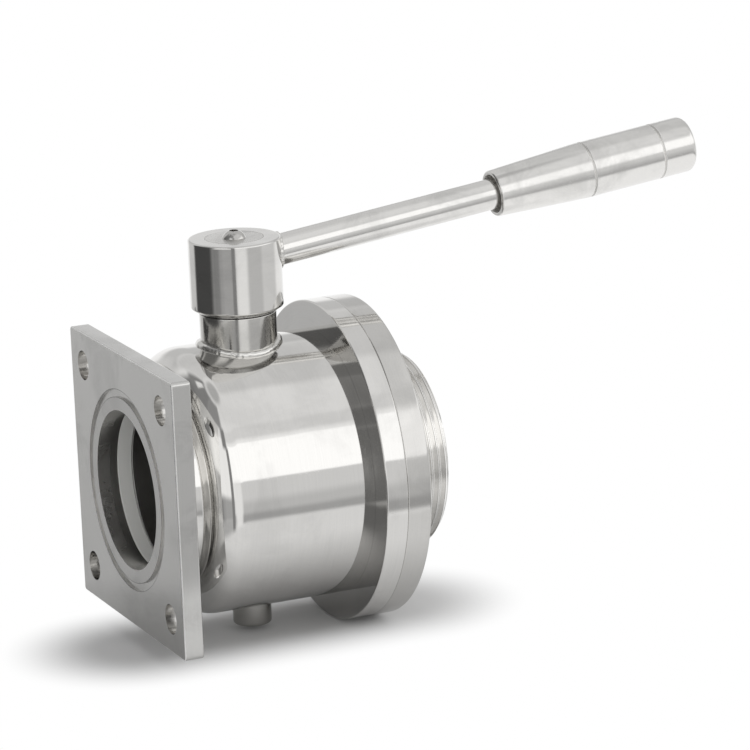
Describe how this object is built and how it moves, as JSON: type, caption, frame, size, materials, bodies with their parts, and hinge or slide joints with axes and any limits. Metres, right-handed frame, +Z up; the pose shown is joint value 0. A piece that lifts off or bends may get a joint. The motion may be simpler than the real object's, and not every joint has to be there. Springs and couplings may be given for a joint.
{
  "type": "sanitary ball valve",
  "caption": "Quarter-turn stainless ball valve with a square bolted inlet flange, turned body, male threaded outlet and a long lever with a turned grip.",
  "frame": {"origin": "centre of the square flange's front face, on the waterway's axis and in the middle of its four bolt holes", "axes": "+X along the flow, from the square flange to the threaded outlet; +Z up along the stem, to the hub and lever; at rest the valve is open and the lever lies along +X"},
  "size_m": [0.1906, 0.0976, 0.1397],
  "materials": {
    "polished_steel": "mirror-polished stainless steel",
    "satin_steel": "satin-ground stainless steel",
    "fastener_steel": "rolled and turned stainless steel",
    "ptfe": "waxy white fluoropolymer",
    "seal_rubber": "matt black elastomer"
  },
  "bodies": {
    "housing": {"square_flange": "satin_steel", "valve_body": "polished_steel", "stem_tower": "polished_steel", "end_flange": "polished_steel", "threaded_spigot": "satin_steel", "cap_screws": "fastener_steel", "body_o_ring": "seal_rubber", "inlet_seat": "ptfe", "outlet_seat": "ptfe", "inlet_seat_o_ring": "seal_rubber", "outlet_seat_o_ring": "seal_rubber", "trunnion_pin": "satin_steel", "guide_bush": "ptfe", "thrust_washer": "ptfe"},
    "lever_unit": {"stem": "satin_steel", "lower_stem_o_ring": "seal_rubber", "upper_stem_o_ring": "seal_rubber", "stop_pin": "fastener_steel", "lever_hub": "polished_steel", "hub_washer": "satin_steel", "hub_screw": "fastener_steel", "lever_rod": "polished_steel", "lever_grip": "polished_steel"},
    "ball_unit": {"ball": "polished_steel", "trunnion_bush": "ptfe"}
  },
  "joints": [
    {"name": "lever_turn", "type": "hinge", "parent": "housing", "child": "lever_unit", "pos_m": [0.03827, 0, 0.045], "axis": [0, 0, 1], "range_deg": [-90, 0]},
    {"name": "ball_turn", "type": "hinge", "parent": "housing", "child": "ball_unit", "pos_m": [0.03827, 0, 0], "axis": [0, 0, 1], "range_deg": [-90, 0]}
  ],
  "couplings": [
    {"joint": "ball_turn", "follows": "lever_turn", "ratio": 1}
  ]
}
